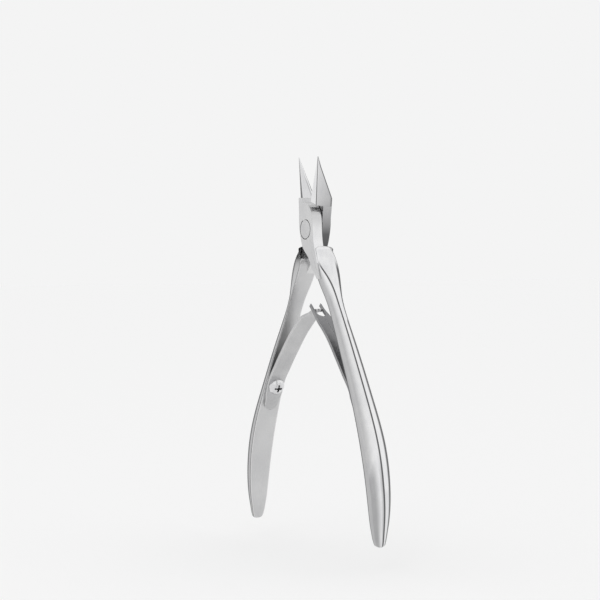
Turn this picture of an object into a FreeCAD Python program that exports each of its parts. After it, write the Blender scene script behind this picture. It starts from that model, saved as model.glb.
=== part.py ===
# Cuticle nipper with a lap joint, one flush rivet and two interlocking leaf springs.
# Millimetres. +Z runs from the handles to the jaw tips, X is the opening direction and
# Y is the rivet's axis. The origin is where that axis meets the flat back of the joint.
# The levers are drawn sprung open, which is how the tool rests.
import FreeCAD
import Part
import math
import os

V = FreeCAD.Vector

# Driving dimensions. Depths are measured forward (-Y) from the joint's flat back.
SIZES = {
    "joint_depth": 6.5,
    "lap_depth": 3.0,
    "lap_gap": 0.06,
    "middle_depth": 3.0,
    "rivet_head_radius": 2.7,
    "rivet_shank_radius": 2.1,
    "rivet_tail_radius": 2.45,
    "rivet_cone_depth": 0.9,
    "running_clearance": 0.05,
    "shoulder_radius": 8.05,
    "leaf_thickness": 0.9,
    "leaf_width": 5.5,
    "foot_end_width": 4.5,
    "foot_below_screw": 8.2,
    "foot_above_screw": 2.4,
    "seat_depth": 0.1,
    "seat_clearance": 0.12,
    "seat_above_foot": 3.4,
    "foot_straight": 2.0,
    "foot_hole_clearance": 0.1,
    "thread_clearance": 0.02,
    "cut_start": 1.5,
    "cut_overrun": 1.0,
    "drill_overrun": 0.2,
    "flex_gap": 0.2,
    "slot_width": 2.7,
    "slot_length": 3.1,
    "screw_across": 24.22,
    "screw_down": 46.6,
    "seat_slope": 25.5,
    "screw_head_radius": 2.45,
    "screw_head_height": 1.9,
    "screw_edge_height": 0.7,
    "screw_dome_height": 1.5,
    "screw_dome_radius": 1.65,
    "screw_shank_radius": 1.0,
    "screw_shank_length": 2.6,
    "recess_width": 0.6,
    "recess_length": 2.4,
    "recess_depth": 0.9,
}

# Handle cross-sections from the shoulder to the rounded end: height, half width of the
# inner flat, then distances from the middle plane to the inner flat, the front wall's
# outer edge, the ridge and the back wall's outer edge, then how far forward the ridge
# stands and how far back the back wall's outer edge stands.
STATIONS = [
    (-5.7, 3.00, 4.95, 5.15, 5.35, 6.10, 2.90, 1.60),
    (-7.4, 3.00, 4.45, 5.75, 6.00, 8.20, 2.90, 1.60),
    (-9.7, 3.00, 4.00, 6.40, 6.75, 9.80, 2.85, 1.70),
    (-12.3, 3.00, 4.95, 7.30, 8.90, 10.50, 2.25, 1.95),
    (-15.6, 2.90, 6.95, 9.10, 11.00, 10.90, 1.20, 2.20),
    (-20.5, 2.50, 10.15, 12.25, 12.95, 11.70, 0.20, 2.45),
    (-27.0, 2.45, 13.70, 16.00, 16.70, 15.40, 0.0, 2.45),
    (-36.0, 2.80, 18.70, 21.20, 22.00, 20.70, 0.0, 2.80),
    (-47.0, 3.15, 24.45, 27.00, 28.25, 26.70, 0.0, 3.15),
    (-59.0, 3.60, 29.80, 32.40, 34.10, 32.40, 0.0, 3.60),
    (-70.0, 3.50, 32.80, 35.30, 37.00, 35.30, 0.0, 3.50),
    (-79.0, 2.97, 33.85, 36.00, 37.70, 36.00, 0.0, 2.97),
    (-82.0, 2.62, 34.00, 35.90, 37.50, 35.90, 0.0, 2.62),
    (-84.0, 2.28, 34.10, 35.80, 37.30, 35.80, 0.0, 2.28),
    (-86.0, 1.77, 34.35, 35.70, 36.95, 35.70, 0.0, 1.77),
    (-87.0, 1.35, 34.55, 35.65, 36.70, 35.65, 0.0, 1.35),
    (-88.0, 0.60, 34.95, 35.50, 36.10, 35.50, 0.0, 0.60),
]

# Jaw cross-sections: height, then how far out and how deep in front of the joint's back
# the cutting edge, the land's outer edge, the outer back edge and the inner back edge are.
JAW_SECTIONS = [
    (1.0, 1.20, 6.20, 3.40, 6.10, 3.45, 0.15, 1.20, 0.15),
    (5.4, 2.10, 6.10, 4.15, 6.05, 4.35, 0.15, 2.10, 0.90),
    (9.1, 2.38, 5.95, 4.45, 5.95, 5.00, 0.20, 2.45, 2.00),
    (20.9, 5.38, 5.50, 5.50, 5.50, 5.52, 5.34, 5.40, 5.36),
]

# Half-joint outline seen from the front, for the lever whose handle is on the right:
# the edge away from the handle, then the edge above it.
PLATE_LEFT = [
    (-3.9, 9.1), (-3.65, 4.4), (-3.5, 0.7), (-2.6, -2.9), (-1.7, -5.0), (-0.1, -6.7),
    (1.8, -8.4), (2.6, -9.7), (4.2, -11.6), (6.3, -14.2),
]
PLATE_RIGHT = [
    (8.0, -14.2), (7.1, -12.0), (6.3, -9.3), (5.6, -7.2), (4.6, -4.4), (4.05, -1.5),
    (3.9, 0.7), (3.75, 3.0), (3.2, 5.0), (1.9, 6.8), (0.5, 7.6),
]
PLATE_TOP = [(-0.55, 7.75), (-1.6, 7.7), (-2.2, 9.1)]

# Space the other lever's half-joint swings through, for the same lever.
NOTCH = [
    (3.4, -12.6), (3.95, -9.6), (5.05, -5.6), (7.0, -4.6), (9.0, -4.6), (9.0, 9.5),
    (-1.95, 9.5),
]
NOTCH_REST = [(-8.5, 3.0), (-8.5, -12.6)]
NOTCH_START_DEGREES = 14.2
NOTCH_END_DEGREES = 68.0

# Centre lines of the leaf springs from the foot to the end, for a leaf on the right.
TONGUE_PATH = [
    (20.7, -42.2), (18.2, -39.3), (14.1, -34.8), (9.8, -30.4), (5.3, -26.7), (2.9, -24.9),
    (0.8, -23.9), (-1.0, -23.5), (-2.2, -23.4),
]
FORK_PATH = [
    (20.7, -42.2), (18.2, -39.3), (14.3, -34.6), (10.6, -30.5), (7.0, -27.4), (4.4, -25.5),
    (1.9, -23.7), (-0.3, -21.8),
]

# Where each leaf narrows: how far back from its end, and the half width there. Each list
# starts at full width and finishes past the end.
TONGUE_EDGE = [(6.0, 2.75), (3.8, 1.05), (-3.0, 0.8)]
FORK_EDGE = [(9.0, 2.75), (1.0, 2.0), (-0.2, 1.6), (-3.0, 1.75)]

# Height of the sketches that shape the leaves' ends from below, and the cut's length.
PLAN_HEIGHT = -50.0
PLAN_CUT_LENGTH = 40.0

doc = FreeCAD.newDocument("cuticle_nipper")
sheet = doc.addObject("Spreadsheet::Sheet", "sizes")
for row, (word, value) in enumerate(SIZES.items(), 1):
    sheet.set("A%d" % row, word)
    sheet.set("B%d" % row, str(value))
    sheet.setAlias("B%d" % row, word)
doc.recompute()


def size(word):
    return float(sheet.get(word))


def origin_plane(body, role):
    return [feature for feature in body.Origin.OriginFeatures if feature.Role == role][0]


def sketch_on(body, name, role, offset):
    """Sketch parallel to an origin plane; offset is a placement or a sheet expression."""
    sketch = body.newObject("Sketcher::SketchObject", name)
    sketch.AttachmentSupport = [(origin_plane(body, role), "")]
    sketch.MapMode = "FlatFace"
    if isinstance(offset, str):
        sketch.setExpression("AttachmentOffset.Base.z", offset)
    else:
        sketch.AttachmentOffset = offset
    return sketch


def add_lines(sketch, points):
    for start, end in zip(points, points[1:]):
        sketch.addGeometry(Part.LineSegment(V(*start, 0), V(*end, 0)), False)


def add_curve(sketch, points):
    curve = Part.BSplineCurve()
    curve.interpolate([V(*point, 0) for point in points])
    sketch.addGeometry(curve, False)


def add_polygon(sketch, points):
    add_lines(sketch, list(points) + [points[0]])


def flipped(points, side):
    """Mirror an outline to the left (-1) or keep it on the right (+1)."""
    return [(side * across, up) for across, up in points]


def new_body(label):
    body = doc.addObject("PartDesign::Body", label)
    body.Label = label
    return body


def loft(body, name, sketches):
    feature = body.newObject("PartDesign::AdditiveLoft", name)
    feature.Profile = sketches[0]
    feature.Sections = sketches[1:]
    return feature


def add_handle(body, side, front):
    """Five-sided handle: inner flat, two walls and two flanks that meet at a ridge.

    front is +1 when the half-joint this handle runs into is the front one.
    """
    middle = -size("middle_depth")
    sketches = []
    for number, station in enumerate(STATIONS):
        up, half, inner, wall, ridge, back, forward, rear = station
        sketch = sketch_on(body, "%s_station_%d" % (body.Label, number), "XY_Plane",
                           FreeCAD.Placement(V(0, 0, up), FreeCAD.Rotation()))
        across_depth = [(inner, half), (inner, -half), (wall, -half), (ridge, -forward),
                        (back, rear)]
        add_polygon(sketch, [(side * across, middle + front * depth)
                             for across, depth in across_depth])
        sketches.append(sketch)
    return loft(body, body.Label + "_handle", sketches)


def add_jaw(body, side):
    """Tapering jaw with a cutting edge, a narrow land and a ground inner face."""
    sketches = []
    for number, section in enumerate(JAW_SECTIONS):
        sketch = sketch_on(body, "%s_jaw_%d" % (body.Label, number), "XY_Plane",
                           FreeCAD.Placement(V(0, 0, section[0]), FreeCAD.Rotation()))
        corners = [(section[i], section[i + 1]) for i in (1, 3, 5, 7)]
        add_polygon(sketch, [(side * across, -depth) for across, depth in corners])
        sketches.append(sketch)
    jaw = loft(body, body.Label + "_jaw", sketches)
    jaw.Ruled = True
    return jaw


def cut_notch(body, side, start, length):
    """Clear the half of the joint the other lever swings through."""
    sketch = sketch_on(body, body.Label + "_notch_outline", "XZ_Plane", start)
    radius = size("shoulder_radius")
    first = math.radians(90 + NOTCH_START_DEGREES)
    last = math.radians(90 + NOTCH_END_DEGREES)
    arc_points = [
        (radius * math.cos(angle), radius * math.sin(angle))
        for angle in (first, (first + last) / 2, last)
    ]
    corners = NOTCH + [arc_points[0]]
    rest = [arc_points[2]] + NOTCH_REST + [NOTCH[0]]
    add_lines(sketch, flipped(corners, side))
    first_point, middle_point, last_point = flipped(arc_points, side)
    sketch.addGeometry(Part.Arc(V(*first_point, 0), V(*middle_point, 0),
                                V(*last_point, 0)), False)
    add_lines(sketch, flipped(rest, side))
    pocket = body.newObject("PartDesign::Pocket", body.Label + "_notch")
    pocket.Profile = sketch
    pocket.Reversed = True
    pocket.setExpression("Length", length)
    return pocket


def add_plate(body, side, start, length):
    """Half-joint: a flat plate from the lap plane out to the joint's face."""
    sketch = sketch_on(body, body.Label + "_plate_outline", "XZ_Plane", start)
    left = flipped(PLATE_LEFT, side)
    right = flipped(PLATE_RIGHT, side)
    top = flipped(PLATE_TOP, side)
    add_curve(sketch, left)
    add_lines(sketch, [left[-1], right[0]])
    add_curve(sketch, right)
    add_curve(sketch, [right[-1]] + top[:2])
    add_lines(sketch, top[1:] + [left[0]])
    pad = body.newObject("PartDesign::Pad", body.Label + "_plate")
    pad.Profile = sketch
    pad.setExpression("Length", length)
    return pad


def rivet_profile(clearance):
    """Half profile of the rivet as (depth in front of the back, radius)."""
    depth = size("joint_depth")
    cone = size("rivet_cone_depth")
    extra = size("cut_overrun") if clearance else 0
    return [
        (-extra, 0),
        (-extra, size("rivet_tail_radius") + clearance),
        (0, size("rivet_tail_radius") + clearance),
        (cone, size("rivet_shank_radius") + clearance),
        (depth - cone, size("rivet_shank_radius") + clearance),
        (depth, size("rivet_head_radius") + clearance),
        (depth + extra, size("rivet_head_radius") + clearance),
        (depth + extra, 0),
    ]


def turned(body, kind, name, points):
    """Revolve a (depth, radius) profile about the rivet's axis."""
    sketch = sketch_on(body, name + "_profile", "YZ_Plane", FreeCAD.Placement())
    kept = [points[0]]
    for point in points[1:]:
        if point != kept[-1]:
            kept.append(point)
    add_polygon(sketch, [(-depth, radius) for depth, radius in kept])
    feature = body.newObject(kind, name)
    feature.Profile = sketch
    feature.ReferenceAxis = (sketch, ["H_Axis"])
    feature.Angle = 360
    return feature


def seat_frame(side):
    """Screw position, direction up the handle's flat and direction out of that flat."""
    slope = math.radians(size("seat_slope"))
    point = V(side * size("screw_across"), -size("middle_depth"), -size("screw_down"))
    along = V(-side * math.sin(slope), 0, math.cos(slope))
    out = V(-side * math.cos(slope), 0, -math.sin(slope))
    return point, along, out


def seat_placement(side, lift):
    """Sketch placement on the seat: x up the handle, y across it, z out of the flat."""
    point, along, out = seat_frame(side)
    across = out.cross(along)
    base = point + out * lift
    matrix = FreeCAD.Matrix(along.x, across.x, out.x, base.x,
                            along.y, across.y, out.y, base.y,
                            along.z, across.z, out.z, base.z, 0, 0, 0, 1)
    return FreeCAD.Placement(matrix)


def foot_outline(sketch, extra, above=0):
    """Foot seen square on: straight sides, a round lower end and a square upper end."""
    half = size("leaf_width") / 2 + extra
    end_radius = size("foot_end_width") / 2 + extra
    low = -size("foot_below_screw") - extra
    high = size("foot_above_screw") + above
    shoulder = low + end_radius
    straight = -size("foot_straight")
    add_lines(sketch, [(high, -half), (straight, -half), (shoulder, -end_radius)])
    sketch.addGeometry(Part.Arc(V(shoulder, -end_radius, 0), V(low, 0, 0),
                                V(shoulder, end_radius, 0)), False)
    add_lines(sketch, [(shoulder, end_radius), (straight, half), (high, half), (high, -half)])


def cut_seat(body, side):
    """Shallow seat for the spring's foot and the screw's threaded hole."""
    cut_start = size("cut_start")
    sketch = sketch_on(body, body.Label + "_seat_outline", "XY_Plane",
                       seat_placement(side, cut_start))
    foot_outline(sketch, size("seat_clearance"), size("seat_above_foot"))
    pocket = body.newObject("PartDesign::Pocket", body.Label + "_seat")
    pocket.Profile = sketch
    pocket.setExpression("Length", "sizes.seat_depth + sizes.cut_start")
    doc.recompute()
    hole_sketch = sketch_on(body, body.Label + "_screw_circle", "XY_Plane",
                            seat_placement(side, cut_start))
    hole_radius = size("screw_shank_radius") + size("thread_clearance")
    hole_sketch.addGeometry(Part.Circle(V(0, 0, 0), V(0, 0, 1), hole_radius), False)
    hole = body.newObject("PartDesign::Pocket", body.Label + "_screw_hole")
    hole.Profile = hole_sketch
    hole.setExpression("Length",
                       "sizes.screw_shank_length + sizes.cut_start + sizes.drill_overrun")
    return hole


def build_lever(label, side, front):
    """One lever: handle, half-joint and the jaw on the other side of the rivet."""
    body = new_body(label)
    add_handle(body, side, front)
    doc.recompute()
    add_jaw(body, -side)
    doc.recompute()
    if front > 0:
        cut_notch(body, side, "-sizes.cut_overrun", "sizes.lap_depth + sizes.cut_overrun")
        doc.recompute()
        add_plate(body, side, "sizes.lap_depth + sizes.lap_gap / 2",
                  "sizes.joint_depth - sizes.lap_depth - sizes.lap_gap / 2")
    else:
        cut_notch(body, side, "sizes.lap_depth",
                  "sizes.joint_depth - sizes.lap_depth + sizes.cut_overrun")
        doc.recompute()
        add_plate(body, side, "0", "sizes.lap_depth - sizes.lap_gap / 2")
    doc.recompute()
    clearance = size("running_clearance")
    turned(body, "PartDesign::Groove", label + "_rivet_hole", rivet_profile(clearance))
    doc.recompute()
    cut_seat(body, side)
    doc.recompute()
    return body


def build_rivet():
    body = new_body("pivot_rivet")
    turned(body, "PartDesign::Revolution", "rivet_turning", rivet_profile(0))
    doc.recompute()
    return body


def build_foot(label, side):
    """Fixed lower end of a leaf spring, with the screw's clearance hole."""
    body = new_body(label)
    lift = -size("seat_depth")
    sketch = sketch_on(body, label + "_outline", "XY_Plane", seat_placement(side, lift))
    foot_outline(sketch, 0)
    hole_radius = size("screw_shank_radius") + size("foot_hole_clearance")
    sketch.addGeometry(Part.Circle(V(0, 0, 0), V(0, 0, 1), hole_radius), False)
    pad = body.newObject("PartDesign::Pad", label + "_pad")
    pad.Profile = sketch
    pad.setExpression("Length", "sizes.leaf_thickness")
    doc.recompute()
    return body


def offset_path(points, distance):
    """Points moved sideways off a path by a distance, square to the local direction."""
    moved = []
    for number, point in enumerate(points):
        before = points[max(number - 1, 0)]
        after = points[min(number + 1, len(points) - 1)]
        run = math.hypot(after[0] - before[0], after[1] - before[1])
        moved.append((point[0] - (after[1] - before[1]) / run * distance,
                      point[1] + (after[0] - before[0]) / run * distance))
    return moved


def build_blade(label, side, path, fork):
    """Free part of a leaf spring, ending in a two-pronged fork or a narrow tongue."""
    body = new_body(label)
    point, along, out = seat_frame(side)
    thick = size("leaf_thickness")
    start = point + along * (size("foot_above_screw") + size("flex_gap"))
    start = start + out * (thick / 2 - size("seat_depth"))
    points = [(start.x, start.z)] + flipped(path, side)
    upper = offset_path(points, thick / 2)
    lower = offset_path(points, -thick / 2)
    half = size("leaf_width") / 2
    near = size("middle_depth") - half
    sketch = sketch_on(body, label + "_side", "XZ_Plane",
                       FreeCAD.Placement(V(0, 0, near), FreeCAD.Rotation()))
    add_curve(sketch, upper)
    add_lines(sketch, [upper[-1], lower[-1]])
    add_curve(sketch, lower)
    add_lines(sketch, [lower[0], upper[0]])
    pad = body.newObject("PartDesign::Pad", label + "_pad")
    pad.Profile = sketch
    pad.setExpression("Length", "sizes.leaf_width")
    doc.recompute()
    middle = -size("middle_depth")
    plan = sketch_on(body, label + "_plan", "XY_Plane",
                     FreeCAD.Placement(V(0, 0, PLAN_HEIGHT), FreeCAD.Rotation()))
    end = side * points[-1][0]
    edge = FORK_EDGE if fork else TONGUE_EDGE
    beyond = end + edge[-1][0]
    if fork:
        slot_half = size("slot_width") / 2
        slot_end = end + size("slot_length")
        add_lines(plan, [(side * across, middle + depth) for across, depth in [
            (slot_end, slot_half), (beyond, slot_half), (beyond, -slot_half),
            (slot_end, -slot_half)]])
        plan.addGeometry(Part.Arc(V(side * slot_end, middle + slot_half, 0),
                                  V(side * (slot_end + slot_half), middle, 0),
                                  V(side * slot_end, middle - slot_half, 0)), False)
    outside = half + size("cut_overrun")
    tips = [(end + back, width) for back, width in edge]
    tips = [(tips[0][0], outside)] + tips + [(beyond, outside)]
    for sign in (1, -1):
        add_polygon(plan, [(side * across, middle + sign * depth) for across, depth in tips])
    cut = body.newObject("PartDesign::Pocket", label + "_end_shape")
    cut.Profile = plan
    cut.Reversed = True
    cut.Length = PLAN_CUT_LENGTH
    doc.recompute()
    return body


def build_screw(label, side):
    """Pan-head screw with a cross recess, standing on the spring's foot."""
    body = new_body(label)
    point, along, out = seat_frame(side)
    top = size("leaf_thickness") - size("seat_depth")
    head = size("screw_head_radius")
    height = size("screw_head_height")
    edge = size("screw_edge_height")
    shank = size("screw_shank_radius")
    length = size("screw_shank_length")
    across = out.cross(along)
    matrix = FreeCAD.Matrix(out.x, along.x, across.x, point.x,
                            out.y, along.y, across.y, point.y,
                            out.z, along.z, across.z, point.z, 0, 0, 0, 1)
    sketch = sketch_on(body, label + "_profile", "XY_Plane", FreeCAD.Placement(matrix))
    add_lines(sketch, [(top + height, 0), (-length, 0), (-length, shank), (top, shank),
                       (top, head), (top + edge, head)])
    dome = V(top + size("screw_dome_height"), size("screw_dome_radius"), 0)
    sketch.addGeometry(Part.Arc(V(top + edge, head, 0), dome, V(top + height, 0, 0)), False)
    turn = body.newObject("PartDesign::Revolution", label + "_turning")
    turn.Profile = sketch
    turn.ReferenceAxis = (sketch, ["H_Axis"])
    turn.Angle = 360
    doc.recompute()
    recess = sketch_on(body, label + "_recess_outline", "XY_Plane",
                       seat_placement(side, top + height + size("drill_overrun")))
    arm = size("recess_length") / 2
    half = size("recess_width") / 2
    add_polygon(recess, [(arm, -half), (arm, half), (half, half), (half, arm), (-half, arm),
                         (-half, half), (-arm, half), (-arm, -half), (-half, -half),
                         (-half, -arm), (half, -arm), (half, -half)])
    pocket = body.newObject("PartDesign::Pocket", label + "_recess")
    pocket.Profile = recess
    pocket.setExpression("Length", "sizes.recess_depth + sizes.drill_overrun")
    doc.recompute()
    return body


bodies = [
    build_lever("rear_lever", -1, -1),
    build_lever("front_lever", 1, 1),
    build_rivet(),
    build_foot("tongue_spring_foot", -1),
    build_blade("tongue_spring_blade", -1, TONGUE_PATH, False),
    build_foot("fork_spring_foot", 1),
    build_blade("fork_spring_blade", 1, FORK_PATH, True),
    build_screw("tongue_spring_screw", -1),
    build_screw("fork_spring_screw", 1),
]

doc.recompute()
os.makedirs("parts", exist_ok=True)
for item in doc.Objects:
    if "Invalid" in item.State or "Error" in item.State:
        raise RuntimeError("%s did not build" % item.Name)
for body in bodies:
    if body.Shape.isNull() or not body.Shape.isValid():
        raise RuntimeError("%s has no valid shape" % body.Label)
    body.Shape.exportStep("parts/%s.step" % body.Label)
    print(body.Label, "solids", len(body.Shape.Solids), "volume %.2f" % body.Shape.Volume)
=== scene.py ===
import math
import bpy
import bmesh
import numpy as np
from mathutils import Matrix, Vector


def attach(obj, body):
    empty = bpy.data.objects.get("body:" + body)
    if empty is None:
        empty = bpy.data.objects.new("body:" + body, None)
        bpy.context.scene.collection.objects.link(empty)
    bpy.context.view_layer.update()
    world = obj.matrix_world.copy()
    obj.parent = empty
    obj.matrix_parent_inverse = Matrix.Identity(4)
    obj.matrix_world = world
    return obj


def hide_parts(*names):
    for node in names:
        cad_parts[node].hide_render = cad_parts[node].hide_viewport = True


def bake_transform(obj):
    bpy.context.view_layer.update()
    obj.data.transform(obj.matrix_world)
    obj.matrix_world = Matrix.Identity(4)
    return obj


# Cuticle nipper: the two levers and both leaf springs are made here as smooth surfaces
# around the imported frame; the rivet and the spring screws are the frame's own solids.
# Sizes in the dictionaries are millimetres; depth is measured forward (-Y) from the
# joint's flat back, across is X and up is Z.

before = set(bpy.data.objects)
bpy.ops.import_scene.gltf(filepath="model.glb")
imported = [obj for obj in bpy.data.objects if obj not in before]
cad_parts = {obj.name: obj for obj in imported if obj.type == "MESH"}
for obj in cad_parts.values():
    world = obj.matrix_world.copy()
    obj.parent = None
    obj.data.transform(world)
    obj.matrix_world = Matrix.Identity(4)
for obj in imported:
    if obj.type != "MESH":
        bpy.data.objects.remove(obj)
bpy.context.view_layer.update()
mm = 0.001


def hexColour(text):
    # sRGB hex to linear light
    parts = [int(text[i:i + 2], 16) / 255 for i in (1, 3, 5)]
    linear = [p / 12.92 if p <= 0.04045 else ((p + 0.055) / 1.055) ** 2.4 for p in parts]
    return (*linear, 1.0)


def addNode(tree, kind, settings, links):
    # one node: settings name its properties or input sockets, links feed its inputs
    node = tree.nodes.new(kind)
    for key, value in settings.items():
        if isinstance(key, str) and hasattr(node, key):
            setattr(node, key, value)
        else:
            node.inputs[key].default_value = value
    for key, source in links.items():
        tree.links.new(source, node.inputs[key])
    return node


mixFrom, mixTo, mixResult = 6, 7, 2  # sockets of a colour mix node
noiseSwing = {"From Min": 0.7, "From Max": 1.3}  # two noises added together
creviceShade = "#1C1C1E"  # painted shade for crevices


def brushedSteel(name, look):
    # stainless steel: fine brushing lines and a slow drift in tone and haze; a point
    # attribute of painted light and shade fades the colour to the edge colour: a painted
    # highlight on ground corners, and painted dark reflection and shade where a buffed
    # corner or a hidden wall turns away from the room
    material = bpy.data.materials.new(name)
    material.use_nodes = True
    tree = material.node_tree
    tree.nodes.clear()
    output = addNode(tree, "ShaderNodeOutputMaterial", {}, {})
    place = addNode(tree, "ShaderNodeTexCoord", {}, {})
    lines = addNode(tree, "ShaderNodeMapping", {"Scale": look["lineScale"]},
                    {"Vector": place.outputs["Object"]})
    brushing = addNode(tree, "ShaderNodeTexNoise",
                       {"Scale": 1.0, "Detail": 4.0, "Roughness": 0.6},
                       {"Vector": lines.outputs["Vector"]})
    drift = addNode(tree, "ShaderNodeTexNoise", {"Scale": look["driftScale"], "Detail": 2.0},
                    {"Vector": place.outputs["Object"]})
    tone = addNode(tree, "ShaderNodeMath", {"operation": "ADD"},
                   {0: brushing.outputs["Fac"], 1: drift.outputs["Fac"]})
    spread = addNode(tree, "ShaderNodeMapRange", noiseSwing, {"Value": tone.outputs["Value"]})
    colour = addNode(tree, "ShaderNodeMix",
                     {"data_type": "RGBA", mixFrom: hexColour(look["dark"]),
                      mixTo: hexColour(look["light"])}, {"Factor": spread.outputs["Result"]})
    # painted light and shade: each point's painted tone mixes the colour towards the edge
    # colour
    paintedTone = addNode(tree, "ShaderNodeAttribute", {"attribute_name": "paintedLightShade"}, {})
    paintedAmount = addNode(tree, "ShaderNodeMath", {"operation": "MULTIPLY", 1: look["paintedTone"]},
                        {0: paintedTone.outputs["Fac"]})
    paintedColour = addNode(tree, "ShaderNodeMix",
                   {"data_type": "RGBA", mixTo: hexColour(look["edge"])},
                   {"Factor": paintedAmount.outputs["Value"], mixFrom: colour.outputs[mixResult]})
    if "crevice" in look:
        # painted shade: corners less than this many millimetres across are darkened
        near = addNode(tree, "ShaderNodeAmbientOcclusion",
                       {"only_local": True, "Distance": look["crevice"] * mm}, {})
        unshadedShare = addNode(tree, "ShaderNodeMapRange", {"From Min": 0.45, "From Max": 0.85},
                        {"Value": near.outputs["AO"]})
        paintedColour = addNode(tree, "ShaderNodeMix",
                       {"data_type": "RGBA", mixFrom: hexColour(creviceShade)},
                       {"Factor": unshadedShare.outputs["Result"], mixTo: paintedColour.outputs[mixResult]})
    smoothest, roughest = look["rough"]
    haze = addNode(tree, "ShaderNodeMapRange",
                   {**noiseSwing, "To Min": smoothest, "To Max": roughest},
                   {"Value": tone.outputs["Value"]})
    bump = addNode(tree, "ShaderNodeBump",
                   {"Strength": look["bump"], "Distance": look["bumpDepth"] * mm},
                   {"Height": brushing.outputs["Fac"]})
    shader = addNode(tree, "ShaderNodeBsdfPrincipled", {"Metallic": 1.0},
                     {"Base Color": paintedColour.outputs[mixResult],
                      "Roughness": haze.outputs["Result"], "Normal": bump.outputs["Normal"]})
    tree.links.new(shader.outputs["BSDF"], output.inputs["Surface"])
    return material


# Martensitic stainless steel, flat faces ground on a fine belt: a soft even grey with
# faint lines along the tool. Real lines are about 0.02 mm apart; drawn at 0.15 mm.
# Its light edge colour is a painted highlight on rounded corners.
groundSteel = brushedSteel("ground satin stainless steel", {
    "lineScale": (6500, 6500, 420), "driftScale": 110, "dark": "#C6C6C7",
    "light": "#D6D6D6", "edge": "#E6E6E6", "paintedTone": 0.7, "rough": (0.34, 0.44),
    "bump": 0.12, "bumpDepth": 0.02})
# The same steel buffed on a soft wheel: a bright mirror with a trace of buffing haze.
# Its dark edge colour is painted: dark reflection on corners, shade on hidden walls.
buffedSteel = brushedSteel("mirror buffed stainless steel", {
    "lineScale": (900, 900, 260), "driftScale": 60, "dark": "#E2E2E4",
    "light": "#F0F0F0", "edge": "#232325", "paintedTone": 1.0, "rough": (0.08, 0.14),
    "bump": 0.02, "bumpDepth": 0.01})
# Cold-rolled spring strip, lightly brushed along its length and a little darker.
# Its light edge colour is a painted highlight on the strip's rounded corners.
stripLook = {
    "lineScale": (5200, 2600, 500), "driftScale": 150, "dark": "#B6B6B7",
    "light": "#CECECE", "edge": "#E2E2E2", "paintedTone": 0.6, "rough": (0.30, 0.42),
    "bump": 0.10, "bumpDepth": 0.02}
springStrip = brushedSteel("rolled spring steel strip", stripLook)
# The forked leaf is a shaded copy of the same strip: painted shade, darker all over.
shadedStripCopy = brushedSteel("painted shade spring steel strip", {
    **stripLook, "dark": "#848486", "light": "#9A9A9B", "edge": "#B4B4B5"})
# Peened rivet ground flush with the joint faces.
rivetSteel = brushedSteel("ground flush rivet steel", {
    "lineScale": (5200, 5200, 900), "driftScale": 190, "dark": "#C2C2C3",
    "light": "#D4D4D4", "edge": "#E2E2E2", "paintedTone": 0.5, "rough": (0.34, 0.44),
    "bump": 0.10, "bumpDepth": 0.02})
# Turned and tumbled pan-head screw, bright nickel-like gloss with soft marks.
screwSteel = brushedSteel("tumbled bright screw steel", {
    "lineScale": (1500, 1500, 1500), "driftScale": 260, "dark": "#CFCFD1",
    "light": "#EFEFEF", "edge": "#F6F6F6", "paintedTone": 0.4, "rough": (0.12, 0.2),
    "bump": 0.06, "bumpDepth": 0.02, "crevice": 0.7})
print("materials ready")


def smoothThrough(knots, values, wanted):
    # natural cubic spline: on each gap the value is a cubic whose slope and bend carry
    # on from the last one, and whose bend is nothing at both ends
    knots = np.asarray(knots, float)
    values = np.asarray(values, float).reshape(len(knots), -1)
    gap = np.diff(knots)
    slope = np.diff(values, axis=0) / gap[:, None]
    count = len(knots)
    system = np.eye(count)
    inner = np.arange(1, count - 1)
    system[inner, inner - 1] = gap[:-1]
    system[inner, inner] = 2 * (gap[:-1] + gap[1:])
    system[inner, inner + 1] = gap[1:]
    right = np.zeros_like(values)
    right[1:-1] = 6 * np.diff(slope, axis=0)
    bend = np.linalg.solve(system, right)
    wanted = np.asarray(wanted, float)
    cell = np.clip(np.searchsorted(knots, wanted, side="right") - 1, 0, count - 2)
    width = gap[cell][:, None]
    ahead = (knots[cell + 1] - wanted)[:, None]
    behind = (wanted - knots[cell])[:, None]
    return (bend[cell] * ahead ** 3 / (6 * width) + bend[cell + 1] * behind ** 3 / (6 * width)
            + (values[cell] / width - bend[cell] * width / 6) * ahead
            + (values[cell + 1] / width - bend[cell + 1] * width / 6) * behind)


def straightThrough(knots, values, wanted):
    # straight lines between the knots, every column at once
    knots = np.asarray(knots, float)
    values = np.asarray(values, float).reshape(len(knots), -1)
    columns = [np.interp(wanted, knots, column) for column in values.T]
    return np.stack(columns, 1)


def easeFrom(value, start, full):
    # nothing up to start, one from full on, and level at both ends: 3 s^2 - 2 s^3 of the
    # share s of the way between them; full may lie below start
    share = np.clip((value - start) / (full - start), 0, 1)
    return share * share * (3 - 2 * share)


def distancesAlong(points):
    # how far along the line each of its points lies
    return np.concatenate([[0], np.cumsum(np.linalg.norm(np.diff(points, axis=0), axis=1))])


def alongCurve(points, count):
    # evenly spaced points on the smooth curve through the given ones
    points = np.asarray(points, float)
    run = distancesAlong(points)
    return smoothThrough(run, points, np.linspace(0, run[-1], count))


def alongLines(points, count):
    # evenly spaced points on the straight lines between the given ones
    points = np.asarray(points, float)
    run = distancesAlong(points)
    return straightThrough(run, points, np.linspace(0, run[-1], count))


# how a section's loop is drawn: the shares of a straight side where its columns stand,
# how much of a side a corner may take, and the painted light and shade of a rounded
# corner
loopLook = {
    "sideShares": (0.03, 0.12, 0.3, 0.5, 0.7, 0.88, 0.97),
    "cornerReach": 0.42,
    "cornerPaintedTone": 0.55,
}


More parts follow.
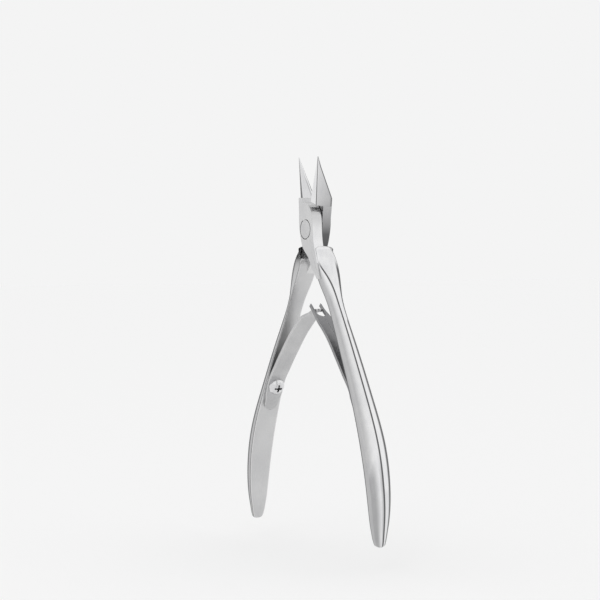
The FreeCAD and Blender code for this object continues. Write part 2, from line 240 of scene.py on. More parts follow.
def roundedLoop(corners, radii, steps=5):
    # closed section with rounded corners: each corner is the quadratic curve from a
    # point one radius before it to a point one radius after it, with straight sides
    # between. corners is (sections, corner, 2); radii has one radius for each corner.
    before = np.roll(corners, 1, axis=1) - corners
    after = np.roll(corners, -1, axis=1) - corners
    lengthBefore = np.linalg.norm(before, axis=2, keepdims=True) + 1e-9
    lengthAfter = np.linalg.norm(after, axis=2, keepdims=True) + 1e-9
    radius = np.asarray(radii, float)[None, :, None]
    most = loopLook["cornerReach"]
    start = corners + before / lengthBefore * np.minimum(radius, most * lengthBefore)
    end = corners + after / lengthAfter * np.minimum(radius, most * lengthAfter)
    sweep = np.linspace(0, 1, steps)[None, :, None]
    side = np.array(loopLook["sideShares"])[None, :, None]
    rows, edgeOf, paintedTone = [], [], []
    for i in range(corners.shape[1]):
        here = corners[:, i:i + 1]
        a, b = start[:, i:i + 1], end[:, i:i + 1]
        rows.append((1 - sweep) ** 2 * a + 2 * sweep * (1 - sweep) * here + sweep ** 2 * b)
        edgeOf += [i - 1 if k < steps // 2 else i for k in range(steps)]
        paintedTone += [loopLook["cornerPaintedTone"]] * steps
        nextStart = np.roll(start, -1, axis=1)[:, i:i + 1]
        rows.append(b + (nextStart - b) * side)
        edgeOf += [i] * side.shape[1]
        paintedTone += [0.0] * side.shape[1]
    edgeOf = np.array(edgeOf) % corners.shape[1]
    return np.concatenate(rows, 1), edgeOf, np.array(paintedTone)


def gridFaces(rows, columns, closeRows=False):
    # quads of a grid whose columns run round in a loop, with each quad's row and column
    row, column = np.meshgrid(np.arange(rows if closeRows else rows - 1),
                              np.arange(columns), indexing="ij")
    nextRow = (row + 1) % rows
    nextColumn = (column + 1) % columns
    quads = np.stack([row * columns + column, row * columns + nextColumn,
                      nextRow * columns + nextColumn, nextRow * columns + column], -1)
    return quads.reshape(-1, 4), row.ravel(), column.ravel()


def makePiece(name, points, faces, faceSlot, paintedTone, materials):
    # points in millimetres, faces as lists of their numbers; faceSlot picks each face's
    # material and the last list is the painted light and shade of each point
    mesh = bpy.data.meshes.new(name)
    mesh.from_pydata((points * mm).tolist(), [], faces)
    for material in materials:
        mesh.materials.append(material)
    mesh.polygons.foreach_set("material_index", np.asarray(faceSlot, np.int32))
    mesh.polygons.foreach_set("use_smooth", np.ones(len(mesh.polygons), bool))
    paintedLightShade = mesh.attributes.new("paintedLightShade", "FLOAT", "POINT")
    paintedLightShade.data.foreach_set("value", np.asarray(paintedTone, np.float32))
    shape = bmesh.new()
    shape.from_mesh(mesh)
    bmesh.ops.recalc_face_normals(shape, faces=shape.faces)
    shape.to_mesh(mesh)
    shape.free()
    mesh.update()
    piece = bpy.data.objects.new(name, mesh)
    bpy.context.scene.collection.objects.link(piece)
    return piece


def closedLoft(name, grid, edgeOf, paintedTone, slotOfEdge, materials, capSlot=None):
    # grid is (rows, columns, 3); both ends close on a point at their middle. Each side
    # of the section has its material slot; capSlot is the ends' own, if they have one.
    rows, columns = grid.shape[:2]
    faces, _, faceColumn = gridFaces(rows, columns)
    slots = np.array(slotOfEdge)[edgeOf[faceColumn]]
    first, last = rows * columns, rows * columns + 1
    column = np.arange(columns)
    nextColumn = (column + 1) % columns
    lowCap = np.stack([np.full(columns, first), nextColumn, column], 1)
    top = (rows - 1) * columns
    highCap = np.stack([np.full(columns, last), top + column, top + nextColumn], 1)
    points = np.concatenate([grid.reshape(-1, 3), grid[:1].mean(1), grid[-1:].mean(1)])
    allFaces = faces.tolist() + lowCap.tolist() + highCap.tolist()
    capSlots = np.array(slotOfEdge)[edgeOf] if capSlot is None else np.full(columns, capSlot)
    allSlots = np.concatenate([slots, capSlots, capSlots])
    allPaintedTone = np.concatenate([np.broadcast_to(paintedTone, (rows, columns)).ravel(), [0.0, 0.0]])
    return makePiece(name, points, allFaces, allSlots, allPaintedTone, materials)


# station: height, half width, inner flat, front wall, ridge, back wall, ridge forward,
# back wall's edge rearward (the frame's handles, with the lowest end a little blunter)
handle = {
    "stations": [
        (-88.0, 1.15, 34.65, 35.60, 36.60, 35.60, 0.0, 1.15),
        (-87.0, 1.62, 34.45, 35.68, 36.85, 35.68, 0.0, 1.62),
        (-86.0, 1.92, 34.30, 35.72, 37.03, 35.72, 0.0, 1.92),
        (-84.0, 2.28, 34.10, 35.80, 37.30, 35.80, 0.0, 2.28),
        (-82.0, 2.62, 34.00, 35.90, 37.50, 35.90, 0.0, 2.62),
        (-79.0, 2.97, 33.85, 36.00, 37.70, 36.00, 0.0, 2.97),
        (-70.0, 3.50, 32.80, 35.30, 37.00, 35.30, 0.0, 3.50),
        (-59.0, 3.59, 29.80, 32.40, 34.10, 32.40, 0.0, 3.59),
        (-47.0, 3.15, 24.45, 27.00, 28.25, 26.70, 0.0, 3.15),
        (-36.0, 2.80, 18.70, 21.20, 22.00, 20.70, 0.0, 2.80),
        (-27.0, 2.45, 13.70, 16.00, 16.70, 15.40, 0.0, 2.45),
        (-20.5, 2.50, 10.15, 12.25, 12.95, 11.70, 0.20, 2.45),
        (-15.6, 2.90, 6.95, 9.10, 11.00, 10.90, 1.20, 2.20),
        (-12.3, 3.00, 4.95, 7.30, 8.90, 10.50, 2.25, 1.95),
        (-9.7, 3.00, 4.00, 6.40, 6.75, 9.80, 2.85, 1.70),
        (-7.4, 3.00, 4.45, 5.75, 6.00, 8.20, 2.90, 1.60),
        (-5.7, 3.00, 4.95, 5.15, 5.35, 6.10, 2.90, 1.60)],
    "middle": 3.0,
    "cornerRadii": (0.22, 0.22, 0.9, 0.25, 0.8),
    "arcColumns": 7,
    "rows": 170,
    "bunching": 0.35,  # how much closer the rows stand at the low end
    # the ends round over from these heights, at these angles and by these lengths
    "lowest": -86.85,
    "domeAngles": (20, 40, 60, 75),
    "lowRound": 1.1,
    "topRound": 0.9,
    # painted dark reflection across a flank, by the share of the way from the ridge to its
    # outer corner
    "edgeFade": (0.3, 1.0),
    "outerBand": (0.2, 0.7),
    "ridgeBand": (0.25, 0.05),
    # heights between which the painted tones come in, and how strong each is: the grip's
    # band and the lines are painted dark reflection, the hidden shoulder painted shadow
    "bandFrom": -60.0,
    "bandFull": -70.0,
    "bandTone": 0.5,
    "wallTone": 0.40,
    "rimBelow": -6.5,
    "wideRimBelow": -26.0,
    "lineSpread": 2,  # columns that the wide lines take from the side beside them
    "lineFrom": -8.5,
    "lineFull": -11.5,
    "lineTone": 0.85,
    "hiddenFrom": -9.2,
    "hiddenFull": -8.2,
    "hiddenTone": 0.75,
}


def makeHandle(name, side, front):
    # section swept up the handle: five corners follow smooth curves through the
    # stations, and the corners are rounded section by section
    stations = np.array(handle["stations"])
    climb = np.linspace(0, 1, handle["rows"])
    climb = climb + handle["bunching"] * (climb ** 2 - climb)
    lowest, highest = handle["lowest"], stations[-1, 0]
    up = lowest + (highest - lowest) * climb
    values = smoothThrough(stations[:, 0], stations[:, 1:], up)
    half, inner, wall, ridge, back, forward, rear = values.T
    across = np.stack([inner, inner, wall, ridge, back], 1) * side
    depth = np.stack([half, -half, -half, -forward, rear], 1) * front - handle["middle"]
    corners = np.stack([across, depth], -1)
    loop, edgeOf, paintedTone = roundedLoop(corners, handle["cornerRadii"], handle["arcColumns"])
    heights = np.broadcast_to(up[:, None, None], (*loop.shape[:2], 1))
    grid = np.concatenate([loop, heights], -1)
    # both ends round over: the section shrinks by the cosine of an angle while it moves
    # on by the sine
    fall = np.radians(handle["domeAngles"])[:, None, None]
    lowMiddle, topMiddle = grid[:1].mean(1, keepdims=True), grid[-1:].mean(1, keepdims=True)
    lowDome = lowMiddle + (grid[:1] - lowMiddle) * np.cos(fall)
    lowDome = lowDome - np.array([0, 0, handle["lowRound"]]) * np.sin(fall)
    topDome = topMiddle + (grid[-1:] - topMiddle) * np.cos(fall)
    topDome = topDome + np.array([0, 0, handle["topRound"]]) * np.sin(fall)
    grid = np.concatenate([lowDome[::-1], grid, topDome])
    # painted reflection and shade: the corners are painted dark, the walls grey and a grey
    # fade on to the front flank that widens over the swollen lower grip; reach is each
    # column's share of the way from the ridge to the flank's outer corner
    frontFlank = 2 if front > 0 else 3
    reach = np.abs(loop[:, :, 0] - corners[:, 3:4, 0])
    reach = reach / np.abs(corners[:, 3:4, 0] - corners[:, 2:3, 0])
    inFlank = (edgeOf == frontFlank)[None]
    low = easeFrom(up, handle["bandFrom"], handle["bandFull"])[:, None] * handle["bandTone"]
    edges = easeFrom(reach, *handle["edgeFade"]) * handle["wallTone"]
    edges = np.maximum(edges, low * easeFrom(reach, *handle["outerBand"]))
    edges = np.maximum(edges, low * easeFrom(reach, *handle["ridgeBand"]))
    tone = np.where(inFlank, edges, 0)
    walls = np.isin(edgeOf, (1, 4))
    tone = np.maximum(tone, np.where(walls, handle["wallTone"], 0)[None])
    # every corner is a painted dark line of reflection but the one between the front
    # handle's wall and flank, and the painted line where the section turns on to the front
    # wall is wider
    perCorner = len(paintedTone) // corners.shape[1]
    corner, inCorner = np.divmod(np.arange(len(paintedTone)), perCorner)
    spread = handle["lineSpread"]
    plainCorner, wideCorner = (2, 1) if front > 0 else (-1, 4)
    line = (paintedTone > 0) & (corner != plainCorner)
    line |= (corner == wideCorner) & (inCorner < handle["arcColumns"] + spread)
    line = line[None] & (up < handle["rimBelow"])[:, None]
    fade = 1.0
    if front > 0:
        # the grip's painted back rim line is wide too, and the painted lines fade in below
        # the shoulder
        rim = (corner == 3) & (inCorner >= perCorner - spread)
        line |= rim[None] & (up < handle["wideRimBelow"])[:, None]
        fade = easeFrom(up, handle["lineFrom"], handle["lineFull"])[:, None]
    tone = np.maximum(tone, line * handle["lineTone"] * fade)
    domeRows = len(handle["domeAngles"])
    tone = np.concatenate([tone[:1].repeat(domeRows, 0), tone, tone[-1:].repeat(domeRows, 0)])
    if front < 0:
        # painted shadow on the shoulder that the other half-joint hides
        hidden = easeFrom(grid[:, :1, 2], handle["hiddenFrom"], handle["hiddenFull"])
        tone = np.maximum(tone, hidden * handle["hiddenTone"])
    # the flat facing the other handle is ground, the walls and flanks are buffed
    piece = closedLoft(name, grid, edgeOf, tone, (0, 1, 1, 1, 1), [groundSteel, buffedSteel])
    if front < 0:
        # on the hidden shoulder the flat takes the buffed steel too, so its painted shadow is
        # dark
        sides = piece.data.polygons
        middles = np.empty(3 * len(sides), np.float32)
        slots = np.empty(len(sides), np.int32)
        sides.foreach_get("center", middles)
        sides.foreach_get("material_index", slots)
        slots[middles[2::3] > handle["hiddenFrom"] * mm] = 1
        sides.foreach_set("material_index", slots)
    return piece


# the outline goes round from the top's left corner: across and height for each point
halfJoint = {
    "left": [(-3.9, 9.1), (-3.65, 4.4), (-3.5, 0.7), (-2.6, -2.9), (-1.7, -5.0),
             (-0.1, -6.7), (1.8, -8.4), (2.6, -9.7), (4.2, -11.6), (6.3, -14.2)],
    "right": [(8.0, -14.2), (7.1, -12.0), (6.3, -9.3), (5.6, -7.2), (4.6, -4.4),
              (4.05, -1.5), (3.9, 0.7), (3.75, 3.0), (3.2, 5.0), (1.9, 6.8), (0.5, 7.6)],
    "top": [(0.5, 7.6), (-0.55, 7.75), (-1.6, 7.7)],
    "step": [(-1.6, 7.7), (-2.2, 9.1), (-3.9, 9.1)],
    "sideColumns": 90,
    "bottomColumns": 8,
    "topColumns": 12,
    "stepColumns": 17,
    # depths of the plane between the plates, of the lapped face and of the outer face
    "middle": 3.0,
    "lap": 3.03,
    "face": 6.5,
    "holeRadius": 2.75,
    # how far under the face the hole's wall ends and its mouth starts, and how much
    # wider than the hole the mouth's rings are
    "mouthDepths": (0.15, 0.06),
    "mouthGrowth": (1.07, 1.075, 1.08),
    "edgeRadius": 0.14,
    "edgeTone": 0.3,
    "wallInset": 0.08,
    # where rings stand on each face, as shares of the way from the hole to the edge
    "faceShares": (0.03, 0.06, 0.15, 0.3, 0.45, 0.6, 0.75, 0.88, 0.96, 1.0),
    "lapShares": (0.95, 0.6, 0.3, 0.05),
    "satinAbove": 7.0,
    "satinBelow": -9.9,
    "sideTone": 0.4,
    "sideToneFrom": -1.0,
    "sideToneFull": 7.0,
}


def makeHalfJoint(name, side, front):
    # ring of surface round the rivet hole: out across one face, round the edge, along
    # the outline's wall, back across the lapped face and down the hole
    left, right = halfJoint["left"], halfJoint["right"]
    outline = np.concatenate([
        alongCurve(left, halfJoint["sideColumns"])[:-1],
        alongLines([left[-1], right[0]], halfJoint["bottomColumns"])[:-1],
        alongCurve(right, halfJoint["sideColumns"])[:-1],
        alongCurve(halfJoint["top"], halfJoint["topColumns"])[:-1],
        alongLines(halfJoint["step"], halfJoint["stepColumns"])[:-1]])
    tangent = np.roll(outline, -1, axis=0) - np.roll(outline, 1, axis=0)
    tangent /= np.linalg.norm(tangent, axis=1, keepdims=True)
    inward = np.stack([-tangent[:, 1], tangent[:, 0]], 1)
    angle = np.arctan2(outline[:, 1], outline[:, 0])
    hole = halfJoint["holeRadius"] * np.stack([np.cos(angle), np.sin(angle)], 1)
    lap, face, soft = halfJoint["lap"], halfJoint["face"], halfJoint["edgeRadius"]
    inset = outline + inward * soft
    wallEnd = soft + halfJoint["wallInset"]
    holeEnd, mouthStart = halfJoint["mouthDepths"]
    mouthInner, mouthOuter, faceInner = halfJoint["mouthGrowth"]
    rows, depths, kind, paintedTone = [], [], [], []

    def addRow(shape, depth, rowKind, rowPaintedTone):
        rows.append(shape)
        depths.append(depth)
        kind.append(rowKind)
        paintedTone.append(rowPaintedTone)

    # kind 0 is the ground face and 1 the buffed wall
    # painted shade: the hole's wall, its mouth and the lapped face's rounded edge are painted
    # dark and the outer face's rounded edge grey
    for depth in np.linspace(lap, face - holeEnd, 4):
        addRow(hole, depth, 1, 1.0)
    # painted dark line of shade where the hole's mouth was lightly countersunk
    addRow(hole, face - mouthStart, 1, 1.0)
    addRow(hole * mouthInner, face, 1, 1.0)
    addRow(hole * mouthOuter, face, 0, 0.0)
    for share in halfJoint["faceShares"]:
        addRow(hole * faceInner * (1 - share) + inset * share, face, 0, 0.0)
    for turn in np.radians([22.5, 45, 67.5, 90]):
        addRow(outline + inward * soft * (1 - math.sin(turn)),
               face - soft * (1 - math.cos(turn)), 1, halfJoint["edgeTone"])
    for depth in np.linspace(face - wallEnd, lap + wallEnd, 8):
        addRow(outline, depth, 1, 0.0)
    for turn in np.radians([0, 45, 90]):
        addRow(outline + inward * soft * (1 - math.cos(turn)),
               lap + soft * (1 - math.sin(turn)), 1, 1.0)
    for share in halfJoint["lapShares"]:
        addRow(hole * (1 - share) + inset * share, lap, 0, 0.0)
    shape = np.stack(rows)
    depth = np.array(depths)
    if front < 0:
        # the rear plate is the front one's mirror image, thinned to the flat back
        middle = halfJoint["middle"]
        depth = middle - (depth - middle) * (middle / (face - middle))
    grid = np.empty((*shape.shape[:2], 3))
    grid[..., 0] = shape[..., 0] * side
    grid[..., 1] = -depth[:, None]
    grid[..., 2] = shape[..., 1]
    faces, faceRow, faceColumn = gridFaces(*grid.shape[:2], closeRows=True)
    # the ledge at the top and the crotch stay ground; the wall between is buffed
    high = outline[:, 1]
    ground = (high > halfJoint["satinAbove"]) | (high < halfJoint["satinBelow"])
    kind = np.array(kind)
    slots = np.where(ground[faceColumn], 0, kind[faceRow])
    tone = np.repeat(np.array(paintedTone)[:, None], grid.shape[1], 1)
    # painted shade: the rear plate darkens down the side hidden between the levers; the
    # front plate's side is only painted grey close under the jaws
    if front < 0:
        hiddenSide = np.arange(len(high)) < halfJoint["sideColumns"]
        shade = np.where(hiddenSide, shadeAt(high), 0)
    else:
        shade = easeFrom(high, halfJoint["sideToneFrom"], halfJoint["sideToneFull"])
        shade = shade * halfJoint["sideTone"]
    tone = np.where(kind[:, None] > 0, np.maximum(tone, shade[None]), tone)
    return makePiece(name, grid.reshape(-1, 3), faces.tolist(), slots,
                     tone.ravel(), [groundSteel, buffedSteel])


# painted shade on the buffed walls, from the jaw's point down to the hidden end of the
# half-joint
shadeKnots = {
    "height": (-6.0, -1.5, 1.0, 4.0, 9.0, 14.0, 20.9),
    "tone": (0.90, 0.86, 0.66, 0.50, 0.34, 0.20, 0.05),
}


def shadeAt(height):
    return np.interp(height, shadeKnots["height"], shadeKnots["tone"])


jaw = {
    # height, then across and depth of the cutting edge, the land's outer edge, the
    # outer back edge and the inner back edge
    "sections": [
        (5.4, 2.10, 6.10, 4.15, 5.50, 4.35, 0.15, 2.10, 0.90),
        (9.1, 2.38, 5.95, 4.45, 5.40, 5.00, 0.20, 2.45, 2.00),
        (20.9, 5.38, 5.50, 5.50, 5.48, 5.52, 5.34, 5.40, 5.36)],
    "base": 7.75,
    "root": 9.1,
    "tip": 20.9,
    # height, then across at the inner side, the face's and the lap's outer side, and
    # the depth of the face
    "cheek": [(1.0, 1.20, 3.40, 3.43, 6.15), (5.4, 2.10, 4.13, 4.25, 6.1),
              (9.05, 2.40, 4.43, 4.70, 5.95)],
    "shoulderRadius": 8.05,
    "shoulderLift": 0.03,
    "hollow": 0.28,
    "hollowShares": (0.03, 0.97),
    "cornerRadii": (0.06, 0.10, 0.55, 0.3),
    "innerTone": 0.14,
    "landTone": {-1: 0.55, 1: 0.05},  # for the left and the right jaw
    "lineTone": 0.8,
    "outerTone": (0.6, 1.2),  # of the half-joint's shade, at the front and back edge
    "baseRows": 12,
    "rows": 60,
    # depths of the rear cheek's back and lapped face and of the front cheek's lapped
    # face, and how much further out the rear one reaches
    "cheekBack": 0.16,
    "cheekLap": 2.95,
    "cheekFrontLap": 3.05,
    "cheekOut": 0.1,
    "cheekRadii": (0.1, 0.2, 0.1, 0.1),
    "cheekRows": 24,
}


def makeJaw(name, side):
    # straight-sided loft from the shoulder to the point, with a hollow ground into the
    # inner face; the lowest row follows the round shoulder and evens out at the root
    sections = np.array(jaw["sections"])
    base, root, tip = jaw["base"], jaw["root"], jaw["tip"]
    up = np.concatenate([np.linspace(base, root, jaw["baseRows"])[:-1],
                         np.linspace(root, tip, jaw["rows"])])
    values = straightThrough(sections[:, 0], sections[:, 1:], up).reshape(len(up), 4, 2)
    loop, edgeOf, paintedTone = roundedLoop(values, jaw["cornerRadii"])
    thick = np.clip((tip - up) / (tip - root), 0, 1)[:, None]
    flat = (edgeOf == 3) & (paintedTone == 0)
    dish = np.zeros(len(paintedTone))
    dish[flat] = np.sin(np.pi * np.linspace(*jaw["hollowShares"], flat.sum()))
    across = loop[..., 0] + jaw["hollow"] * dish[None] * thick ** 0.5
    shoulder = np.sqrt(jaw["shoulderRadius"] ** 2 - across[:1] ** 2) + jaw["shoulderLift"]
    climb = np.clip((up[:, None] - base) / (root - base), 0, 1)
    heights = np.where(climb < 1, shoulder + (root - shoulder) * climb, up[:, None])
    grid = np.stack([across * side, -loop[..., 1], heights], -1)
    # painted shade: the outer face greys toward its back edge and toward the root, both its
    # edges are painted as dark lines, the land takes its own painted tone and the inner face
    # is only faintly greyed
    outside = (edgeOf == 1) & (paintedTone == 0)
    share = np.zeros(len(paintedTone))
    share[outside] = np.linspace(*jaw["outerTone"], outside.sum())
    tone = np.where(outside[None], shadeAt(heights) * share[None], 0.0)
    tone = np.where(flat[None], jaw["innerTone"], tone)
    tone = np.where((edgeOf == 0)[None], jaw["landTone"][side], tone)
    cuttingCorner = np.arange(len(paintedTone)) < len(paintedTone) // 4
    line = (paintedTone > 0) & np.isin(edgeOf, (0, 1)) & ~cuttingCorner
    tone = np.where(line[None], jaw["lineTone"], tone)
    return closedLoft(name, grid, edgeOf, tone, (1, 1, 1, 1), [groundSteel, buffedSteel], 0)


def makeCheek(name, side, front):
    # wedge that widens the half-joint up to the jaw's root, only in its own half
    sections = np.array(jaw["cheek"])
    up = np.linspace(sections[0, 0], sections[-1, 0], jaw["cheekRows"])
    inner, outer, lapOuter, face = straightThrough(sections[:, 0], sections[:, 1:], up).T
    lap = np.full_like(up, jaw["cheekFrontLap"])
    if front < 0:
        face, lap = np.full_like(up, jaw["cheekBack"]), np.full_like(up, jaw["cheekLap"])
        outer, lapOuter = lapOuter + jaw["cheekOut"], (outer + lapOuter) / 2
    across = np.stack([inner, outer, lapOuter, inner], 1)
    depth = np.stack([face, face, lap, lap], 1)
    loop, edgeOf, _ = roundedLoop(np.stack([across, depth], -1), jaw["cheekRadii"])
    heights = np.broadcast_to(up[:, None], loop.shape[:2])
    grid = np.stack([loop[..., 0] * side, -loop[..., 1], heights], -1)
    # painted shade: the cheek's walls take the half-joint's painted shade
    tone = np.where(edgeOf == 0, 0, shadeAt(heights))
    return closedLoft(name, grid, edgeOf, tone, (0, 1, 1, 1), [groundSteel, buffedSteel], 0)


levers = {
    "front": {"body": "front_half", "node": "front_lever", "side": 1, "front": 1},
    "rear": {"body": "rear_half", "node": "rear_lever", "side": -1, "front": -1},
}
for word, lever in levers.items():
    side, front = lever["side"], lever["front"]
    pieces = [
        makeHandle(word + "Handle", side, front),
        makeHalfJoint(word + "HalfJoint", side, front),
        makeJaw(word + "Jaw", -side),
        makeCheek(word + "Cheek", -side, front),
    ]
    for piece in pieces:
        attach(piece, lever["body"])
        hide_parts(lever["node"])
print("levers made")

# both leaves: across and height of the point under the screw, and lift, how far from
# that the foot's centre line lies
leaf = {
    "thickness": 0.9,
    "width": 5.5,
    "footWidth": 4.5,
    "middle": 3.0,
    "screw": (24.22, -46.6),
    "seatSlope": 25.5,
    "lift": 0.35,
    "footBelow": 8.2,
    "footSteps": (-5.5, -3, -0.5, 1.6),
    "widening": 4.0,  # run in which the round foot grows to the strip's full width
    "tipRadius": 0.5,
    "leastRound": 0.002,
    "bendAt": 10.0,
    "bendLength": 12.0,
    "cornerRadius": 0.16,
    "rows": 150,
}
# path: across and height from the foot's end to the tip; the strip narrows between two
# distances from the tip
tongue = {
    "path": [(20.7, -42.2), (18.2, -39.3), (14.1, -34.8), (9.8, -30.4), (5.3, -26.7),
             (2.9, -24.9), (0.8, -23.9), (-1.0, -23.5), (-2.2, -23.4)],
    "material": springStrip,
    "tipWidth": 2.1, "narrowFrom": 7.0, "narrowTo": 4.2, "side": -1,
    "bodies": ("rear_half", "tongue_blade"),
    "nodes": ("tongue_spring_foot", "tongue_spring_blade"),
}
fork = {
    "path": [(20.7, -42.2), (18.2, -39.3), (14.3, -34.6), (10.6, -30.5), (7.0, -27.4),
             (4.4, -25.5), (1.9, -23.7), (-0.3, -21.8)],
    "material": shadedStripCopy,
    "tipWidth": 3.9, "narrowFrom": 9.0, "narrowTo": 0.6, "side": 1,
    "slotHalf": 1.35, "slotLength": 5.6,
    "bodies": ("front_half", "fork_blade"),
    "nodes": ("fork_spring_foot", "fork_spring_blade"),
}


def leafCentre(spring):
    # centre line from the foot's round end to the tip, as evenly spaced points, with the
    # direction square to the strip and the distances from the foot and to the tip
    slope = math.radians(leaf["seatSlope"])
    along = np.array([-math.sin(slope), math.cos(slope)])
    out = np.array([-math.cos(slope), -math.sin(slope)])
    base = np.array(leaf["screw"]) + out * leaf["lift"]
    foot = [base + along * step for step in (-leaf["footBelow"], *leaf["footSteps"])]
    points = np.array(foot + [np.array(point) for point in spring["path"]])
    centre = alongCurve(points, leaf["rows"])
    run = distancesAlong(centre)
    ahead = np.gradient(centre, axis=0)
    ahead /= np.linalg.norm(ahead, axis=1, keepdims=True)
    square = np.stack([-ahead[:, 1], ahead[:, 0]], 1)
    return centre, square, run, run[-1] - run


def roundEnd(distance, radius, least=0.0):
    # a circle's half chord at a distance in from its edge, as a share of its radius
    share = np.clip(distance / radius, 0, 1)
    return np.sqrt(np.clip(1 - (1 - share) ** 2, least, 1))


def leafHalfWidth(spring, run, left):
    # half the strip's width: a round foot, straight sides and a narrowing end, and the
    # share of it that the round tip leaves
    footHalf = leaf["footWidth"] / 2
    full, tipHalf = leaf["width"] / 2, spring["tipWidth"] / 2
    widen = easeFrom(run, footHalf, footHalf + leaf["widening"])
    body = footHalf + (full - footHalf) * widen
    shoulder = easeFrom(left, spring["narrowTo"], spring["narrowFrom"])
    width = tipHalf + (body - tipHalf) * shoulder
    least = leaf["leastRound"]
    return width * roundEnd(run, footHalf, least), roundEnd(left, leaf["tipRadius"], least)


def makeStrip(spring, low, high, centre, square):
    # rounded rectangle carried along the centre line, from the low to the high edge
    half = leaf["thickness"] / 2
    corners = np.stack([
        np.stack([low, np.full_like(low, half)], 1),
        np.stack([high, np.full_like(low, half)], 1),
        np.stack([high, np.full_like(low, -half)], 1),
        np.stack([low, np.full_like(low, -half)], 1)], 1)
    loop, edgeOf, paintedTone = roundedLoop(corners, [leaf["cornerRadius"]] * 4)
    place = centre[:, None] + square[:, None] * loop[..., 1:2]
    grid = np.stack([place[..., 0] * spring["side"], loop[..., 0] - leaf["middle"],
                     place[..., 1]], -1)
    return grid, edgeOf, paintedTone


def joined(name, parts, material):
    # several closed shells in one piece
    pieces = [closedLoft("shell", *part, (0, 0, 0, 0), [material]) for part in parts]
    whole = bmesh.new()
    for piece in pieces:
        whole.from_mesh(piece.data)
    mesh = bpy.data.meshes.new(name)
    mesh.materials.append(material)
    whole.to_mesh(mesh)
    whole.free()
    for piece in pieces:
        bpy.data.objects.remove(piece)
    piece = bpy.data.objects.new(name, mesh)
    bpy.context.scene.collection.objects.link(piece)
    return piece


def makeLeaf(name, spring):
    # a strip with its foot screwed to one lever; a forked one is two strips that meet
    # above the slot, whose end is round
    centre, square, run, left = leafCentre(spring)
    width, tipRound = leafHalfWidth(spring, run, left)
    if "slotHalf" in spring:
        slot = spring["slotHalf"] * roundEnd(spring["slotLength"] - left, spring["slotHalf"])
        middle = (width + slot) / 2
        halfProng = (width - slot) / 2 * tipRound
        outer = middle + halfProng
        inner = np.where(slot > 0, middle - halfProng, 0)
        parts = [makeStrip(spring, inner, outer, centre, square),
                 makeStrip(spring, -outer, -inner, centre, square)]
    else:
        outer = width * tipRound
        parts = [makeStrip(spring, -outer, outer, centre, square)]
    piece = joined(name, parts, spring["material"])
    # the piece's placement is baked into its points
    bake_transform(piece)
    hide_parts(*spring["nodes"])
    return piece


makeLeaf("tongueLeafSpring", tongue)
makeLeaf("forkLeafSpring", fork)
print("springs made")

# the frame's own solids keep their shape and get their steel
for node, material in (("pivot_rivet", rivetSteel), ("tongue_spring_screw", screwSteel),
                       ("fork_spring_screw", screwSteel)):
    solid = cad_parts[node]
    for slot in solid.material_slots:
        slot.material = material

studio = {
    "backdrop": "#F4F4F4",
    "floorHeight": -95.2,
    "floorReach": 3000,
    # direction, cosines where the shade starts and is full, and the light it leaves
    "shades": [((-0.866, 0.5, 0.0), 0.75, 0.93, 0.10), ((0.80, 0.60, 0.0), 0.90, 0.99, 0.90),
               ((0.0, 0.0, 1.0), 0.30, 0.90, 0.90)],
    "keyPlace": (0.5, -0.5, 0.6),
    "keySize": 0.25,
    "keyPower": 0.25,
}


def studioWorld():
    # a white room with a dark stand behind, a faint one to the side and a greyer ceiling,
    # so polished edges get dark rims; the camera sees a plain white room and the floor
    # is lit by one
    world = bpy.data.worlds.new("white room")
    bpy.context.scene.world = world
    world.use_nodes = True
    tree = world.node_tree
    tree.nodes.clear()
    output = addNode(tree, "ShaderNodeOutputWorld", {}, {})
    place = addNode(tree, "ShaderNodeTexCoord", {}, {})
    shade = None
    for direction, outer, inner, dark in studio["shades"]:
        facing = addNode(tree, "ShaderNodeVectorMath", {"operation": "DOT_PRODUCT"},
                         {0: place.outputs["Generated"]})
        facing.inputs[1].default_value = direction
        fade = addNode(tree, "ShaderNodeMapRange",
                       {"interpolation_type": "SMOOTHSTEP", "From Min": outer,
                        "From Max": inner, "To Min": 1.0, "To Max": dark},
                       {"Value": facing.outputs["Value"]})
        if shade is None:
            shade = fade.outputs["Result"]
        else:
            both = addNode(tree, "ShaderNodeMath", {"operation": "MULTIPLY"},
                           {0: shade, 1: fade.outputs["Result"]})
            shade = both.outputs["Value"]
    seen = addNode(tree, "ShaderNodeLightPath", {}, {})
    even = addNode(tree, "ShaderNodeMapRange", {"To Max": 1.0},
                   {"Value": seen.outputs["Is Diffuse Ray"], "To Min": shade})
    room = addNode(tree, "ShaderNodeBackground", {"Color": (1, 1, 1, 1)},
                   {"Strength": even.outputs["Result"]})
    plain = addNode(tree, "ShaderNodeBackground",
                    {"Color": hexColour(studio["backdrop"]), "Strength": 1.0}, {})
    mix = addNode(tree, "ShaderNodeMixShader", {},
                  {0: seen.outputs["Is Camera Ray"], 1: room.outputs["Background"],
                   2: plain.outputs["Background"]})
    tree.links.new(mix.outputs["Shader"], output.inputs["Surface"])


studioWorld()

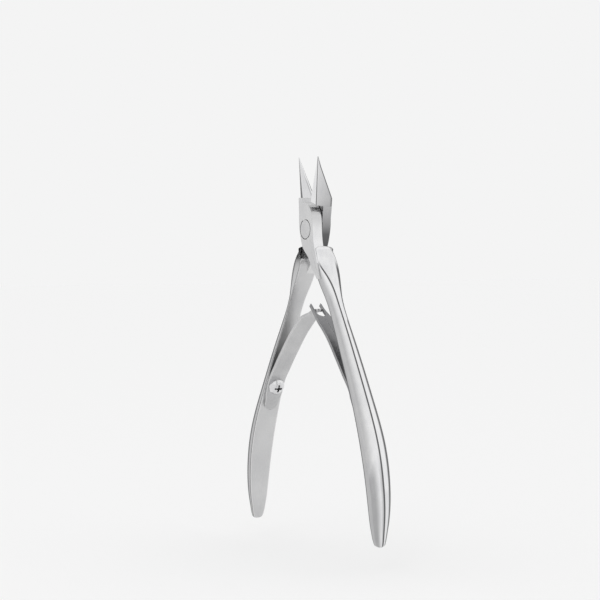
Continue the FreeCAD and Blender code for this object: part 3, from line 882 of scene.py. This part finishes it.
floorMesh = bpy.data.meshes.new("floor")
reach = studio["floorReach"] * mm
level = studio["floorHeight"] * mm
floorMesh.from_pydata([(-reach, -reach, level), (reach, -reach, level),
                       (reach, reach, level), (-reach, reach, level)], [], [(0, 1, 2, 3)])
floorPiece = bpy.data.objects.new("floor", floorMesh)
bpy.context.scene.collection.objects.link(floorPiece)
floorMaterial = bpy.data.materials.new("matt white paper")
floorMaterial.use_nodes = True
floorShader = floorMaterial.node_tree.nodes["Principled BSDF"]
floorShader.inputs["Base Color"].default_value = hexColour(studio["backdrop"])
floorShader.inputs["Roughness"].default_value = 0.95
floorShader.inputs["Specular IOR Level"].default_value = 0.0
floorMesh.materials.append(floorMaterial)


def softLight(name, place, size, power):
    # square lamp that faces the origin and isn't mirrored in the steel
    light = bpy.data.lights.new(name, "AREA")
    light.size = size
    light.energy = power
    lamp = bpy.data.objects.new(name, light)
    lamp.location = place
    lamp.rotation_euler = (-Vector(place)).to_track_quat("-Z", "Y").to_euler()
    lamp.visible_glossy = False
    bpy.context.scene.collection.objects.link(lamp)


softLight("key softbox", studio["keyPlace"], studio["keySize"], studio["keyPower"])

view = {
    "target": (-2.253, -6.933, -20.477),
    "azimuth": 60.0,
    "elevation": 1.8,
    "distance": 610.0,
    "lens": 126.27,
    "sensor": 36,
    "clip": (0.01, 20),
}
azimuth, elevation = math.radians(view["azimuth"]), math.radians(view["elevation"])
toCamera = Vector((math.sin(azimuth) * math.cos(elevation),
                   -math.cos(azimuth) * math.cos(elevation), math.sin(elevation)))
lens = bpy.data.cameras.new("camera")
lens.lens = view["lens"]
lens.sensor_width = view["sensor"]
lens.clip_start, lens.clip_end = view["clip"]
camera = bpy.data.objects.new("camera", lens)
camera.location = (Vector(view["target"]) + toCamera * view["distance"]) * mm
camera.rotation_euler = (-toCamera).to_track_quat("-Z", "Y").to_euler()
bpy.context.scene.collection.objects.link(camera)
bpy.context.scene.camera = camera
bpy.context.scene.view_settings.view_transform = "Standard"
print("studio ready")
